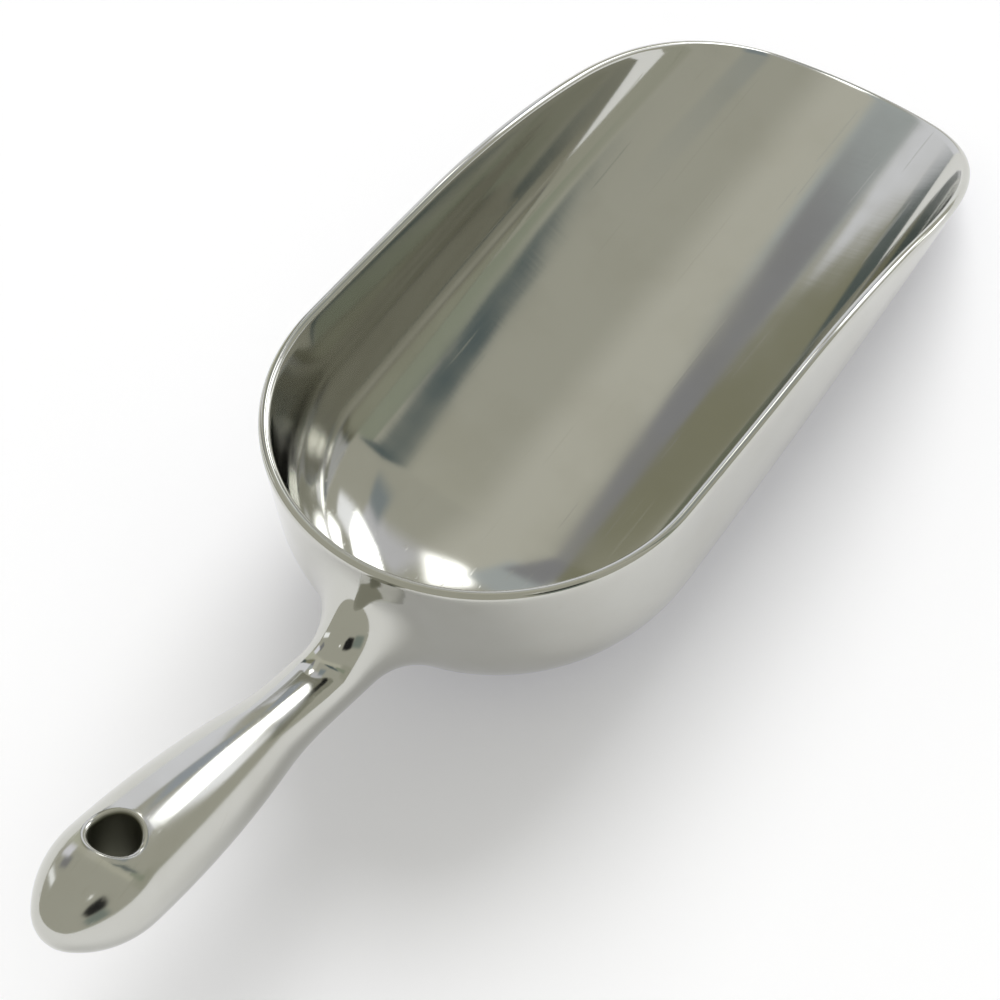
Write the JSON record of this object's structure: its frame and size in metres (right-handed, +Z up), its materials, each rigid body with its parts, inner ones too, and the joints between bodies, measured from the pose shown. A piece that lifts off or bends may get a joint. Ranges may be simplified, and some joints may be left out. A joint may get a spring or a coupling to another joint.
{
  "type": "utility scoop",
  "caption": "Polished cast aluminium utility scoop with a round-backed open trough that tapers to a rounded pouring lip, and a solid teardrop grip with a hang hole.",
  "frame": {"origin": "on the resting plane, below the middle of the overall length and width", "axes": "+X along the scoop from the grip to the pouring lip, +Y to the left of it, +Z up out of the bowl's mouth"},
  "size_m": [0.3454, 0.114, 0.0752],
  "materials": {
    "casting": "polished casting with fine lengthwise polish marks"
  },
  "bodies": {
    "root": {"bowl": "casting", "handle": "casting"}
  },
  "joints": []
}
